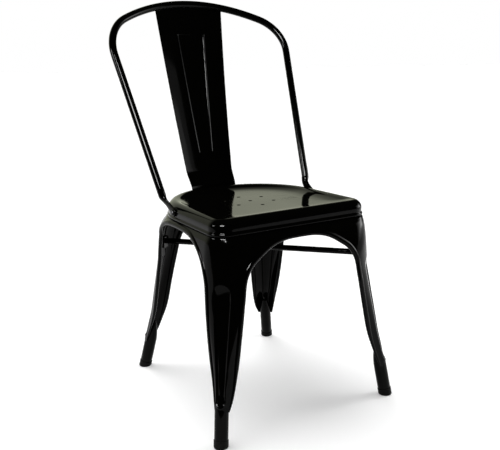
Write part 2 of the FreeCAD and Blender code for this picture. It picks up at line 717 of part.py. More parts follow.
def make_centre_rivet():
    top = V(0, BRACE_CROSS_Y, BRACE_Z + 2 * BRACE_LIFT)
    bottom = V(0, BRACE_CROSS_Y, BRACE_Z - 2 * BRACE_LIFT)
    shank = Part.makeCylinder(RIVET_DIAMETER / 2, top.z - bottom.z, bottom)
    return shank.fuse([rivet_head(top, 1), rivet_head(bottom, -1)])


def on_skirt(shape, depth_inside):
    """Move a right-hand fastener made along +X onto the skirt at the hoop bolt."""
    out = V(1.0, RIM_TAPER, SKIRT_LEAN).normalize()
    at = V(side_half_width(HOOP_BOLT_Y, SKIRT_REACH), HOOP_BOLT_Y, HOOP_BOLT_Z)
    moved = shape.copy()
    moved.Placement = FreeCAD.Placement(at - out * depth_inside, FreeCAD.Rotation(V(1, 0, 0), out))
    return moved


def hoop_bolt_holes():
    reach = 40.0
    hole = Part.makeCylinder(BOLT_DIAMETER / 2 + FIT_GAP, reach, V(-reach / 2, 0, 0), V(1, 0, 0))
    return both_sides(on_skirt(hole, 0.0))


def make_hoop_bolts():
    out = V(1, 0, 0)
    seat = V(2 * FIT_GAP + HOOP_END_THICKNESS, 0, 0)
    head = Part.makeCylinder(BOLT_HEAD_DIAMETER / 2, BOLT_HEAD_HEIGHT, seat, out)
    edges = [edge for edge in head.Edges if edge.BoundBox.XMin > seat.x + BOLT_HEAD_HEIGHT / 2]
    head = head.makeFillet(BOLT_HEAD_HEIGHT * 0.6, edges)
    tail = STACK_DEPTH + WASHER_HEIGHT + NUT_HEIGHT + 2.0
    shank = Part.makeCylinder(BOLT_DIAMETER / 2, seat.x + tail, V(-tail, 0, 0), out)
    return both_sides(on_skirt(head.fuse(shank), 0.0))


def make_hoop_washers():
    ring = Part.makeCylinder(WASHER_DIAMETER / 2, WASHER_HEIGHT, V(0, 0, 0), V(-1, 0, 0))
    bore = Part.makeCylinder(BOLT_DIAMETER / 2 + FIT_GAP, 3 * WASHER_HEIGHT, V(WASHER_HEIGHT, 0, 0), V(-1, 0, 0))
    return both_sides(on_skirt(ring.cut(bore), STACK_DEPTH))


def make_hoop_nuts():
    corner = NUT_ACROSS_FLATS / math.sqrt(3)
    points = []
    for step in range(7):
        angle = math.radians(60.0 * step)
        points.append(V(0, corner * math.cos(angle), corner * math.sin(angle)))
    prism = Part.Face(Part.makePolygon(points)).extrude(V(-NUT_HEIGHT, 0, 0))
    bore = Part.makeCylinder(BOLT_DIAMETER / 2, 2 * NUT_HEIGHT, V(NUT_HEIGHT / 2, 0, 0), V(-1, 0, 0))
    return both_sides(on_skirt(prism.cut(bore), STACK_DEPTH + WASHER_HEIGHT))


def write(shape, name):
    """Move the piece so that the chair's box is centred on the frame, then save it."""
    placed = shape.copy()
    placed.translate(V(0, -FRAME_Y, 0))
    placed.exportStep("parts/%s.step" % name)
    box = placed.BoundBox
    print("%-22s solids %d valid %s  x %.1f..%.1f y %.1f..%.1f z %.1f..%.1f" % (
        name, len(placed.Solids), placed.isValid(),
        box.XMin, box.XMax, box.YMin, box.YMax, box.ZMin, box.ZMax))


def main():
    os.makedirs("parts", exist_ok=True)
    front_leg = make_leg(FRONT_LEG, -1, FRONT_ARCH, SIDE_ARCH_FRONT, FRONT_FOOT, FRONT_SPLAY)
    rear_leg = make_leg(REAR_LEG, 1, REAR_ARCH, SIDE_ARCH_REAR, REAR_FOOT, REAR_SPLAY)
    rear_leg = rear_leg.cut(hoop_bolt_holes())
    right_pieces = {
        "front_%s_leg": front_leg,
        "rear_%s_leg": rear_leg,
        "front_%s_foot_glide": make_glide(FRONT_FOOT, FRONT_SPLAY),
        "rear_%s_foot_glide": make_glide(REAR_FOOT, REAR_SPLAY),
        "front_%s_brace_tab": make_brace_tab(FRONT_LEG, -1),
        "rear_%s_brace_tab": make_brace_tab(REAR_LEG, 1),
    }
    for name, shape in right_pieces.items():
        write(shape, name % "right")
        write(mirrored(shape), name % "left")
    write(make_seat_pan(), "seat_pan")
    write(make_hoop(), "back_hoop")
    write(make_splat(), "back_splat")
    write(make_brace_bar(1, BRACE_LIFT), "upper_cross_brace")
    write(make_brace_bar(-1, -BRACE_LIFT), "lower_cross_brace")
    write(make_centre_rivet(), "brace_centre_rivet")
    write(make_hoop_bolts(), "hoop_bolts")
    write(make_hoop_washers(), "hoop_washers")
    write(make_hoop_nuts(), "hoop_nuts")


main()
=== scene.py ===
import bmesh
import bpy
import math
import numpy as np
from mathutils import Matrix, Vector
from mathutils.geometry import delaunay_2d_cdt

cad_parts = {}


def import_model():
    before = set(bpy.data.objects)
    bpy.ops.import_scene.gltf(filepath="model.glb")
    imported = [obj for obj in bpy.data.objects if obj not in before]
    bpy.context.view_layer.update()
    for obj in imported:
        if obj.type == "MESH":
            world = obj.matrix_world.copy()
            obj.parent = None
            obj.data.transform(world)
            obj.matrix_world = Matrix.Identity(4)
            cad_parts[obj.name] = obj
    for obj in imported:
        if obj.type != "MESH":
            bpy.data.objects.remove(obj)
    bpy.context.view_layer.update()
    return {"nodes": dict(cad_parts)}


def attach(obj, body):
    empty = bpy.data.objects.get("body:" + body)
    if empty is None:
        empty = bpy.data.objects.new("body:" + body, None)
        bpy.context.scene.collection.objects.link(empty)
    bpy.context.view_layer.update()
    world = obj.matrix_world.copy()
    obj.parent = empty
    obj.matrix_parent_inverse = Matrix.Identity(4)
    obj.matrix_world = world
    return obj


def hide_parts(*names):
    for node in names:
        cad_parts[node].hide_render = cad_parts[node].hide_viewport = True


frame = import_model()

# Shape sizes are in millimetres, in a frame whose y is zero about half way between the feet
# That y is FRAME_Y more than the y of the part
MM = 0.001
FRAME_Y = 19.2
SHEET = 1.8
CURVE_STEPS = 24
# Points closer than this, in metres, are joined
MERGE_DISTANCE = 0.00001

# Seat
RIM_FRONT = 173.5
RIM_REAR = 162.0
RIM_HALF_WIDTH = 174.0
RIM_TAPER = 0.031
RIM_FRONT_RADIUS = 28.0
RIM_REAR_RADIUS = 157.0
# Points on each round corner and on each line after it, from the front left corner to the right
RIM_ARC_POINTS = (26, 26, 70, 70)
RIM_LINE_POINTS = (70, 60, 6, 60)
# Inside the roll, the front corners grow rounder by a share of the distance
ROLL_WIDTH = 12.0
DISH_ROUNDING = 0.6
SEAT_ROWS = 110
SEAT_FLOOR = 421.3
# The skirt's inner face starts with two level rows and follows the outer face above them
SKIRT_INSIDE = (398.9, 404.0)
SKIRT_INSIDE_TOP = 406.0
# Distance outside the rim's crest, height
SEAT_PROFILE = [
    (4.6, 399.0), (6.0, 398.6), (7.6, 399.0), (8.6, 401.6), (7.8, 404.4), (6.3, 406.0), (6.3, 409.0),
    (6.5, 412.0), (6.5, 416.0), (5.4, 420.0), (3.0, 423.6), (-1.0, 427.4), (-5.5, 430.0),
    (-10.5, 431.0), (-17.0, 429.8), (-26.0, 426.2), (-38.0, 423.2), (-52.0, 421.8), (-68.0, 421.3),
]
DRAIN_PITCH = 50.5
DRAIN_RING_HOLES = 6
DRAIN_RADIUS = 2.75
DRAIN_COLLAR = 6.0
DRAIN_CENTRE_Y = -2.0
DRAIN_SIDES = 28
# Distance outside the hole's radius, depth below the seat's floor
DRAIN_LIP = [
    (2.2, 0.0), (1.8, 0.05), (1.2, 0.25), (0.5, 0.65), (0.1, 1.1), (0.0, 1.4), (0.3, SHEET),
]
# Share of the collar's radius within which the flat floor is left out
INSIDE_COLLAR = 0.99
FLOOR_PRECISION = 1e-6

# Legs: height, corner x, corner y, corner radius
FRONT_LEG = [
    (418.0, 177.8, 177.3, 32.0), (398.4, 178.4, 177.9, 32.5), (397.0, 181.8, 182.0, 36.0),
    (393.0, 183.8, 185.6, 41.0), (386.0, 186.2, 190.5, 48.0), (372.0, 188.6, 195.0, 53.0),
    (345.0, 191.5, 200.0, 58.0), (300.0, 194.0, 203.5, 60.0), (250.0, 196.5, 206.5, 49.0),
    (200.0, 199.0, 209.0, 35.0), (150.0, 201.5, 212.0, 22.0), (110.0, 206.0, 217.3, 15.4),
    (70.0, 211.0, 222.7, 14.3),
]
REAR_LEG = [
    (418.0, 167.3, 165.8, 160.5), (398.4, 167.9, 166.4, 161.0), (397.0, 170.8, 169.4, 159.5),
    (393.0, 171.7, 170.9, 156.5), (386.0, 171.5, 171.6, 146.0), (372.0, 166.5, 170.0, 118.0),
    (345.0, 157.5, 167.5, 76.0), (300.0, 156.0, 172.0, 60.0), (250.0, 159.0, 180.5, 48.0),
    (200.0, 162.0, 189.0, 34.0), (150.0, 165.0, 198.0, 22.0), (110.0, 170.1, 209.5, 15.4),
    (70.0, 177.2, 218.2, 14.3),
]
# Seam between a front and a rear leg: height, x
SIDE_SEAM_Y = -2.0
SIDE_SEAM_X = [
    (418.0, 172.4), (398.4, 173.0), (397.0, 176.4), (393.0, 178.8), (386.0, 181.4),
    (372.0, 184.0), (345.0, 186.0), (300.0, 188.0), (250.0, 189.0), (200.0, 190.0),
    (150.0, 191.0), (110.0, 192.0), (70.0, 193.0),
]
# Arches: x along a front or rear face, or y along a side face, and height
FRONT_ARCH = [
    (0.0, 383.0), (34.5, 381.5), (66.0, 374.0), (95.0, 357.6), (117.5, 340.0), (131.0, 316.8),
    (138.0, 280.3), (147.5, 222.3), (161.5, 147.0), (177.5, 93.0), (187.5, 70.0),
]
REAR_ARCH = [
    (0.0, 383.0), (20.5, 381.0), (41.5, 372.6), (64.0, 356.2), (80.6, 339.6), (91.9, 316.8),
    (100.0, 280.3), (110.5, 222.3), (123.0, 147.0), (138.5, 93.0), (150.5, 70.0),
]
SIDE_ARCH_FRONT = [
    (SIDE_SEAM_Y, 389.5), (-52.5, 387.4), (-81.0, 381.8), (-110.0, 366.8), (-131.5, 345.6),
    (-146.4, 314.7), (-152.5, 275.3), (-160.4, 220.5), (-175.0, 157.0), (-192.0, 111.0),
    (-204.5, 70.0),
]
SIDE_ARCH_REAR = [
    (SIDE_SEAM_Y, 389.5), (36.5, 387.4), (59.0, 381.8), (84.0, 366.8), (100.6, 345.6),
    (114.0, 314.7), (123.5, 275.3), (137.0, 220.5), (156.5, 157.0), (176.5, 111.0),
    (196.5, 70.0),
]
# Mesh rows above the arches: first height, last height, how many
LEG_TOP_ROWS = [(418.0, 399.4, 3), (398.8, 396.4, 9)]
APRON_TOP = 395.4
APRON_ROWS = 9
# Mesh rows along the arches: only every third is kept above the fine ones near the foot
ARCH_ROWS = 480
FINE_FROM = 360
COARSE_STEP = 3
# Mesh columns from the crown to an edge: over the panel, and beyond it
NEAR_COLUMNS = 17
FAR_COLUMNS = 28
NEAR_SHARE = 0.7
# Search for the place where the sheet meets its edge
WIDEST_REACH = 330.0
HALVINGS = 40
NORMAL_STEP = 0.05
# The sheet's lowest rows are tucked into the foot tube
FOOT_TUCK = 0.5
FOOT_TUCK_FROM = 76.0
FOOT_TUCK_TO = 70.0

# Rolled edge of the legs. Its size grows upwards from HEM_FOOT_SIZE: gain, from height, to height
HEM_WIDTH = 6.0
HEM_THICK = 4.2
HEM_INSET = 3.0
HEM_STAND = 2.6
HEM_SIDES = 28
HEM_FOOT_SIZE = 0.22
HEM_GROWTH = [(0.3, 70.0, 92.0), (0.48, 92.0, 175.0)]

# Pressed panel down the corner of each leg. Its foot is a curved ridge, called the smile here
PANEL_DEPTH = 4.0
PANEL_TOP = 312.0
PANEL_BOTTOM = 80.0
PANEL_TOP_HALF = 19.0
PANEL_BOTTOM_HALF = 9.5
PANEL_STEP = 3.5
PANEL_RAMP = 25.0
PANEL_MARGIN = 1.5
SMILE_STEP = 10.0
SMILE_SAG = 7.0
SMILE_RIDGE = 1.3
SMILE_WIDTH = 2.6
SMILE_FADE = (1.3, 0.8)

# Foot tubes: x and y where the axis meets the floor, and its slopes
FRONT_FOOT = (205.7, -218.2, 0.129, -0.136)
REAR_FOOT = (175.2, 219.2, 0.177, 0.215)
FOOT_RADIUS = 13.7
FOOT_SIDES = 56
# Height, how far inside the radius
FOOT_TUBE = [
    (6, 0.2), (6.4, 0), (40, 0), (60, 0), (72, 0.1), (84, 1.2), (96, 3.4), (108, 6.6), (118, 10.4),
    (119, 13.0),
]

# Back hoop: 0.3 narrower on each side than in the part, so that the smooth tube stays in its box
TUBE_RADIUS = 8.0
HOOP_BASE_Y = 51.8
HOOP_BASE_Z = 450.0
HOOP_LEAN = math.radians(24.3)
HOOP_BASE_HALF = 182.8
HOOP_SIDE_SLOPE = 0.112
HOOP_SHOULDER_RADIUS = 81.5
HOOP_TOP_RADIUS = 403.0
HOOP_BOW = 34.0
HOOP_SIDE_STEPS = 8
HOOP_ARC_STEPS = 12
HOOP_ROWS = 460
HOOP_SIDES = 36
OVERALL_HEIGHT = 850.0
SKIRT_REACH = 6.5
FIT_GAP = 0.1
# Flattened end of the hoop: y, height, half width, half thickness
HOOP_END = [
    (50.3, 443.5, 8.1, 7.8), (46.5, 437.0, 8.7, 5.4), (38.0, 430.5, 9.0, 3.2), (24.0, 423.0, 9.0, 2.0),
    (10.0, 415.5, 9.0, 2.0), (6.4, 411.4, 6.8, 2.0), (4.6, 409.6, 4.0, 1.8),
]

# Back splat
SPLAT_TOP_Z = 835.0
SPLAT_TOP_GAP = 0.5
SPLAT_TOP_HALF = 84.5
SPLAT_TOP_Y = 258.4
SPLAT_FOOT_Z = 411.0
SPLAT_FOOT_HALF = 55.5
SPLAT_HOLLOW = 7.9
SPLAT_CREASE_Z = 472.0
SPLAT_CREASE_Y = 182.6
SPLAT_BOW = 3.4
SPLAT_PLATE_ROWS = 300
SPLAT_KNEE_ROWS = 70
SPLAT_COLUMNS = 150
SPLAT_EDGE_ROWS = 7
SPLAT_EDGE_ROUNDING = 0.6
KNEE_POINTS = 200
# Height, y of the splat's edge below the crease
SPLAT_KNEE = [
    (472.0, SPLAT_CREASE_Y), (465.0, 180.4), (459.0, 177.4), (440.0, 165.4), (434.0, 162.0),
    (428.0, 160.9), (426.0, 160.7), (411.0, 160.7),
]
RIB_TOP = 776.0
RIB_BOTTOM = 508.0
RIB_TOP_HALF = 34.0
RIB_BOTTOM_HALF = 17.0
RIB_HALF_WIDTH = 2.8
RIB_HEIGHT = 1.2

# Crossed braces
BRACE_RADIUS = 6.35
BRACE_Z = 320.0
BRACE_LIFT = 4.6
BRACE_SPREAD = 1.1
BRACE_CROSS_Y = 3.2
BRACE_FRONT = (169.4, -187.2)
BRACE_REAR = (136.7, 156.6)
BRACE_ROWS = 160
BRACE_SIDES = 28
# Distance from the crossing, share of the lift, whether the bar is pressed flat there
BRACE_STATIONS = [
    (-170, 0, False), (-110, 0, False), (-60, 0, False), (-34, 0.2, False), (-14, 0.92, True),
    (0, 1, True), (14, 0.92, True), (34, 0.2, False), (60, 0, False), (110, 0, False),
]

# Materials: a noise is its scale per metre, detail and roughness, and a range is lowest and highest
# A bump is its strength and its height in metres
ZERO_TO_ONE = (0.0, 1.0)
MIX_NUMBERS = (2, 3)
MIX_COLOURS = (6, 7)
MIX_COLOUR_RESULT = 2
PAINT_COLOUR = (0.0009, 0.0009, 0.0007)
PRIMER_COLOUR = (0.02, 0.019, 0.017)
PAINT_IOR = 1.15
PAINT_CLOUD_NOISE = (14.0, 4.0, 0.5)
PAINT_GRAIN_NOISE = (260.0, 3.0, 0.5)
PAINT_GRAIN_SHARE = 0.25
PAINT_UNEVEN = (0.45, 0.85)
PAINT_ROUGHNESS = (0.05, 0.11)
PAINT_SHARP = (0.54, 0.62)
PAINT_WEAR_NOISE = (90.0, 5.0, 0.7)
PAINT_WEAR_PATCHES = (0.45, 0.62)
PAINT_WEAR_TINT = 0.3
PAINT_WEAR_ROUGHNESS = 0.15
PEEL_NOISE = (420.0, 2.0, 0.5)
PEEL_BUMP = (0.02, 0.0001)
WAVE_NOISE = (14.0, 1.0, 0.5)
WAVE_BUMP = (0.06, 0.001)
RUBBER_COLOUR = (0.002, 0.002, 0.002)
SCUFF_COLOUR = (0.007, 0.007, 0.006)
RUBBER_IOR = 1.15
RUBBER_SCUFF_NOISE = (140.0, 5.0, 0.65)
RUBBER_SCUFF_PATCHES = (0.45, 0.75)
RUBBER_ROUGHNESS = (0.38, 0.6)
RUBBER_GRAIN_NOISE = (900.0, 2.0, 0.5)
RUBBER_BUMP = (0.2, 0.0002)
STEEL_COLOUR = (0.03, 0.03, 0.032)
RUBBED_COLOUR = (0.22, 0.215, 0.21)
STEEL_METALLIC = 0.85
STEEL_SHARP = (0.52, 0.58)
STEEL_RUB_NOISE = (300.0, 4.0, 0.5)
STEEL_RUB_PATCHES = (0.4, 0.6)
STEEL_RUB_SHARE = (0.2, 1.0)
STEEL_CLOUD_NOISE = (200.0, 3.0, 0.5)
STEEL_CLOUDS = (0.3, 0.7)
STEEL_ROUGHNESS = (0.28, 0.45)
STEEL_GRAIN_NOISE = (1200.0, 2.0, 0.5)
STEEL_BUMP = (0.15, 0.0001)

# Camera: angles in degrees, place in the millimetre frame
CAMERA_AZIMUTH = 31.156
CAMERA_TILT = 14.456
CAMERA_ROLL = -1.11
CAMERA_PLACE = (-787.5, -1317.6, 724.8)
CAMERA_SENSOR = 36.0
CAMERA_LENS = 52.065
CAMERA_SHIFT = (-0.00836, 0.03364)
CAMERA_CLIP = 0.05

# Studio: metres and degrees, with azimuth zero in front of the chair and positive to its left
FLOOR_FRONT = -0.85
FLOOR_SIZE = 40.0
FLOOR_LIFT = 0.25
FLOOR_ROUGHNESS = 0.9
FLOOR_SPECULAR = 0.1
FLOOR_CLOUD_NOISE = (3.0, 2.0, 0.5)
FLOOR_COLOURS = ((0.86, 0.86, 0.86), (0.88, 0.88, 0.88))
WHITE = (1.0, 1.0, 1.0)
STUDIO_LEVEL = 0.32
DARK_LEVEL = 0.012
SWEEP_LEVEL = 0.95
SWEEP_AZIMUTH = 178.0
SWEEP_EDGE = (0.55, 0.80)
REFLECTED_TINT = (0.97, 1.0, 0.78)
OVERHEAD_AZIMUTH = 160.0
OVERHEAD_ELEVATION = 68.0
OVERHEAD_STRENGTH = 2.2
OVERHEAD_ANGLE = 50.0
SOFTBOX_AIM = (0.0, 0.0, 0.4)
# Name, azimuth, elevation, distance, size, power, whether it lights surfaces that aren't mirror-like
SOFTBOXES = [
    ("camera_left", 42, 36, 2.0, (0.7, 0.5), 120, False),
    ("right_wide", -70, 12, 2.2, (1.8, 1.3), 7, True),
    ("right_middle", -71, 11, 2.15, (1.4, 1.0), 8, True),
    ("right_inner", -72, 10, 2.1, (1.0, 0.8), 8, True),
    ("right_core", -74, 9, 2.05, (0.5, 0.6), 6, True),
    ("left_spot", 98, 24, 2.2, (0.45, 0.4), 24, False),
]


# Curves and meshes

def smooth_table(rows, column):
    """A smooth, never overshooting curve through one column of a table whose first column falls."""
    xs = np.array([row[0] for row in rows][::-1])
    ys = np.array([row[column] for row in rows][::-1])
    step = np.diff(xs)
    slope = np.diff(ys) / step
    tangent = np.zeros_like(ys)
    tangent[0] = slope[0]
    tangent[-1] = slope[-1]
    for k in range(1, len(ys) - 1):
        if slope[k - 1] * slope[k] > 0:
            before = 2 * step[k] + step[k - 1]
            after = step[k] + 2 * step[k - 1]
            tangent[k] = (before + after) / (before / slope[k - 1] + after / slope[k])

    def value(x):
        x = np.clip(np.asarray(x, float), xs[0], xs[-1])
        k = np.clip(np.searchsorted(xs, x, side="right") - 1, 0, len(step) - 1)
        t = (x - xs[k]) / step[k]
        return (ys[k] * (1 + 2 * t) * (1 - t) ** 2 + ys[k + 1] * t * t * (3 - 2 * t)
                + step[k] * (tangent[k] * t * (1 - t) ** 2 - tangent[k + 1] * t * t * (1 - t)))

    return value


def between(t, t_first, t_last, first, last):
    """A place on the line that has its first place at t_first and its last at t_last."""
    return (t_last - t) / (t_last - t_first) * first + (t - t_first) / (t_last - t_first) * last


def through(points, count):
    """Evenly spaced places on a smooth curve through the points."""
    points = np.array(points, float)
    ghost_first = 2 * points[0] - points[1]
    ghost_last = 2 * points[-1] - points[-2]
    full = np.vstack([ghost_first, points, ghost_last])
    knots = np.concatenate([[0], np.cumsum(np.linalg.norm(np.diff(full, axis=0), axis=1) ** 0.5)])
    fine = []
    for k in range(1, len(full) - 2):
        t0, t1, t2, t3 = knots[k - 1:k + 3]
        for t in np.linspace(t1, t2, CURVE_STEPS, endpoint=False):
            a1 = between(t, t0, t1, full[k - 1], full[k])
            a2 = between(t, t1, t2, full[k], full[k + 1])
            a3 = between(t, t2, t3, full[k + 1], full[k + 2])
            b1 = between(t, t0, t2, a1, a2)
            b2 = between(t, t1, t3, a2, a3)
            fine.append(between(t, t1, t2, b1, b2))
    fine.append(points[-1])
    fine = np.array(fine)
    run = np.concatenate([[0], np.cumsum(np.linalg.norm(np.diff(fine, axis=0), axis=1))])
    at = np.linspace(0, run[-1], count)
    return np.stack([np.interp(at, run, fine[:, c]) for c in range(fine.shape[1])], axis=1)


def smoothstep(low, high, x):
    t = np.clip((x - low) / (high - low), 0, 1)
    return t * t * (3 - 2 * t)


def unit(vectors):
    """The same directions with a length of one."""
    return vectors / np.linalg.norm(vectors, axis=-1, keepdims=True)


def around(count):
    """Evenly spaced angles all the way round."""
    return np.linspace(0, 2 * math.pi, count, endpoint=False)


def merge_close(mesh):
    """Join the points of neighbouring grids where they meet."""
    work = bmesh.new()
    work.from_mesh(mesh)
    bmesh.ops.remove_doubles(work, verts=work.verts, dist=MERGE_DISTANCE)
    work.to_mesh(mesh)
    work.free()
    mesh.update()


class Shell:
    """Collects grids of points and turns them into one mesh piece."""

    def __init__(self):
        self.points = []
        self.faces = []

    def grid(self, rows, wrap=False, flip=False):
        """Add rows of points with faces between them, and give the number of the first point."""
        rows = np.asarray(rows, float)
        base = len(self.points)
        down, across = rows.shape[:2]
        self.points.extend(map(tuple, rows.reshape(-1, 3)))
        reach = across if wrap else across - 1
        for i in range(down - 1):
            for j in range(reach):
                k = (j + 1) % across
                quad = (base + i * across + j, base + i * across + k,
                        base + (i + 1) * across + k, base + (i + 1) * across + j)
                self.faces.append(quad[::-1] if flip else quad)
        return base

    def cap(self, start, count, flip=False):
        """Close a ring of points with one face."""
        loop = tuple(range(start, start + count))
        self.faces.append(loop[::-1] if flip else loop)

    def piece(self, name, mirror=False):
        """Make the mesh object, in metres and in the part's frame, mirrored in x if asked."""
        points = np.array(self.points)
        points[:, 1] -= FRAME_Y
        points *= MM
        faces = self.faces
        if mirror:
            points[:, 0] *= -1
            faces = [face[::-1] for face in faces]
        mesh = bpy.data.meshes.new(name)
        mesh.from_pydata([tuple(p) for p in points], [], faces)
        merge_close(mesh)
        for polygon in mesh.polygons:
            polygon.use_smooth = True
        obj = bpy.data.objects.new(name, mesh)
        bpy.context.scene.collection.objects.link(obj)
        return obj


# Legs

def panel_half(z):
    """Half the width of the corner panel at a height."""
    share = np.clip((z - PANEL_BOTTOM) / (PANEL_TOP - PANEL_BOTTOM), 0, 1)
    return PANEL_BOTTOM_HALF + (PANEL_TOP_HALF - PANEL_BOTTOM_HALF) * share


def panel_depth(z, s):
    """How far the sheet is sunk at a height and a distance from the crown."""
    half = panel_half(z)
    across = np.abs(s) / half
    dome = PANEL_TOP - PANEL_TOP_HALF * (1 - np.sqrt(np.clip(1 - across ** 2, 0, 1)))
    smile = z - (PANEL_BOTTOM + SMILE_SAG * across ** 2)
    depth = smoothstep(0, PANEL_STEP, (1 - across) * half)
    depth *= np.clip((dome - z) / PANEL_RAMP, 0, 1)
    depth *= smoothstep(0, SMILE_STEP, smile)
    ridge = SMILE_RIDGE * np.exp(-(smile / SMILE_WIDTH) ** 2) * smoothstep(*SMILE_FADE, across)
    return PANEL_DEPTH * depth - ridge


class Leg:
    """Right-hand leg surface: a place is a height and a distance along the section from the crown.

    The side is -1 for a front leg and 1 for a rear leg.
    """

    def __init__(self, stations, side, end_arch, side_arch):
        self.side = side
        self.corner_x = smooth_table(stations, 1)
        self.corner_y = smooth_table(stations, 2)
        self.radius = smooth_table(stations, 3)
        self.seam_x = smooth_table(SIDE_SEAM_X, 1)
        self.end_arch = end_arch
        self.side_arch = side_arch

    def section(self, z):
        """The level section at a height: two straight faces that meet in a round corner."""
        corner = np.stack([self.corner_x(z), self.side * self.corner_y(z)], -1)
        seam = np.stack([self.seam_x(z), np.full_like(z, SIDE_SEAM_Y)], -1)
        radius = self.radius(z)
        to_end = np.zeros_like(corner)
        to_end[..., 0] = -1.0
        to_side = unit(seam - corner)
        half = np.arccos(np.clip((to_end * to_side).sum(-1), -1, 1)) / 2
        reach = (radius / np.tan(half))[..., None]
        middle = unit(to_end + to_side)
        centre = corner + middle * (radius / np.sin(half))[..., None]
        half_arc = radius * (math.pi - 2 * half) / 2
        crown = np.arctan2(-middle[..., 1], -middle[..., 0])
        end_face = (corner + to_end * reach, to_end)
        side_face = (corner + to_side * reach, to_side)
        return end_face, side_face, centre, radius, half_arc, crown

    def place(self, z, s):
        end_face, side_face, centre, radius, half_arc, crown = self.section(z)
        angle = crown - self.side * np.clip(s, -half_arc, half_arc) / radius
        arc = centre + radius[..., None] * np.stack([np.cos(angle), np.sin(angle)], -1)
        on_end = end_face[0] + end_face[1] * (-s - half_arc)[..., None]
        on_side = side_face[0] + side_face[1] * (s - half_arc)[..., None]
        flat = np.where((s < 0)[..., None], on_end, on_side)
        xy = np.where((np.abs(s) > half_arc)[..., None], flat, arc)
        return np.concatenate([xy, z[..., None]], -1)

    def normal(self, z, s):
        along = self.place(z, s + NORMAL_STEP) - self.place(z, s - NORMAL_STEP)
        up = self.place(z + NORMAL_STEP, s) - self.place(z - NORMAL_STEP, s)
        return unit(np.cross(along, up)) * -self.side

    def reach_to(self, z, edge, end_face):
        """Distance along the section from the crown to an edge's x, or to its y on the side face."""
        low = np.zeros_like(z)
        high = np.full_like(z, WIDEST_REACH)
        for _ in range(HALVINGS):
            mid = (low + high) / 2
            at = self.place(z, -mid if end_face else mid)
            if end_face:
                beyond = at[..., 0] < edge
            else:
                beyond = at[..., 1] * self.side < edge * self.side
            high = np.where(beyond, mid, high)
            low = np.where(beyond, low, mid)
        return (low + high) / 2

    def edges(self):
        """Both edges of the sheet, as x or y and height, and the number of rows above the arches."""
        top = np.concatenate([np.linspace(*rows) for rows in LEG_TOP_ROWS])
        kept = np.concatenate([np.arange(0, FINE_FROM, COARSE_STEP), np.arange(FINE_FROM, ARCH_ROWS)])
        edges = []
        for arch, middle in ((self.end_arch, 0.0), (self.side_arch, SIDE_SEAM_Y)):
            curve = through(arch, ARCH_ROWS)[kept]
            apron = np.linspace(APRON_TOP, curve[0, 1], APRON_ROWS)[:-1]
            heights = np.concatenate([top, apron])
            edges.append(np.vstack([np.stack([np.full_like(heights, middle), heights], 1), curve]))
        return edges[0], edges[1], len(heights)

    def columns(self, crown_z, reach):
        """Distances from the crown to an edge, closer together over the pressed panel."""
        near = np.minimum(panel_half(crown_z) + PANEL_MARGIN, reach * NEAR_SHARE)[:, None]
        first = near * np.linspace(0, 1, NEAR_COLUMNS, endpoint=False)
        second = near + (reach[:, None] - near) * np.linspace(0, 1, FAR_COLUMNS)
        return np.concatenate([first, second], 1)

    def build(self, foot):
        """The whole leg: sheet, rolled edges and foot tube."""
        end_edge, side_edge, first_arch = self.edges()
        crown_z = (end_edge[:, 1] + side_edge[:, 1]) / 2
        end_reach = self.reach_to(end_edge[:, 1], end_edge[:, 0], True)
        side_reach = self.reach_to(side_edge[:, 1], side_edge[:, 0], False)
        left = -self.columns(crown_z, end_reach)[:, ::-1]
        right = self.columns(crown_z, side_reach)[:, 1:]
        heights = []
        for part, edge, reach in ((left, end_edge, end_reach), (right, side_edge, side_reach)):
            share = (part / reach[:, None]) ** 2
            heights.append(crown_z[:, None] + (edge[:, 1] - crown_z)[:, None] * share)
        s = np.concatenate([left, right], 1)
        z = np.concatenate(heights, 1)
        normals = self.normal(z, s)
        sunk = panel_depth(z, s) + FOOT_TUCK * smoothstep(FOOT_TUCK_FROM, FOOT_TUCK_TO, z)
        places = self.place(z, s) - normals * sunk[..., None]
        inside = places - normals * SHEET
        rear = self.side > 0
        shell = Shell()
        shell.grid(places, flip=not rear)
        shell.grid(inside[:-1], flip=rear)
        shell.grid(np.stack([places[-1], inside[-1]]), flip=not rear)
        for column in (0, -1):
            edge = (places[first_arch:, column], normals[first_arch:, column], z[first_arch:, column])
            self.rolled_edge(shell, *edge, column)
        foot_tube(shell, foot)
        return shell

    def rolled_edge(self, shell, edge, normal, z, column):
        """A flattened bead that stands a little proud along the free edge of the sheet."""
        along = unit(np.gradient(edge, axis=0))
        away = unit(np.cross(along, normal))
        inwards = away[-1, 0] if column == 0 else away[-1, 1] * self.side
        turned = inwards > 0
        if turned:
            away = -away
        size = np.full_like(z, HEM_FOOT_SIZE)
        for gain, low, high in HEM_GROWTH:
            size = size + gain * smoothstep(low, high, z)
        size = size[:, None]
        centre = edge - away * HEM_INSET * size - normal * (HEM_THICK - HEM_STAND) * size
        rings = []
        for angle in around(HEM_SIDES):
            arm = normal * HEM_THICK * math.cos(angle) + away * HEM_WIDTH * math.sin(angle)
            rings.append(centre + size * arm)
        shell.grid(np.array(rings).transpose(1, 0, 2), wrap=True, flip=turned)


def foot_tube(shell, foot):
    """Round tube from the glide up into the folded sheet, where it tapers."""
    x, y, dx, dy = foot
    axis = unit(np.array([-dx, -dy, 1.0]))
    across = unit(np.cross(axis, [0, 1, 0]))
    third = np.cross(axis, across)
    angles = around(FOOT_SIDES)
    ring = np.cos(angles)[:, None] * across + np.sin(angles)[:, None] * third
    rows = []
    for height, inset in FOOT_TUBE:
        centre = np.array([x - dx * height, y - dy * height, height])
        rows.append(centre + ring * (FOOT_RADIUS - inset))
    shell.grid(rows, wrap=True, flip=True)


# Seat

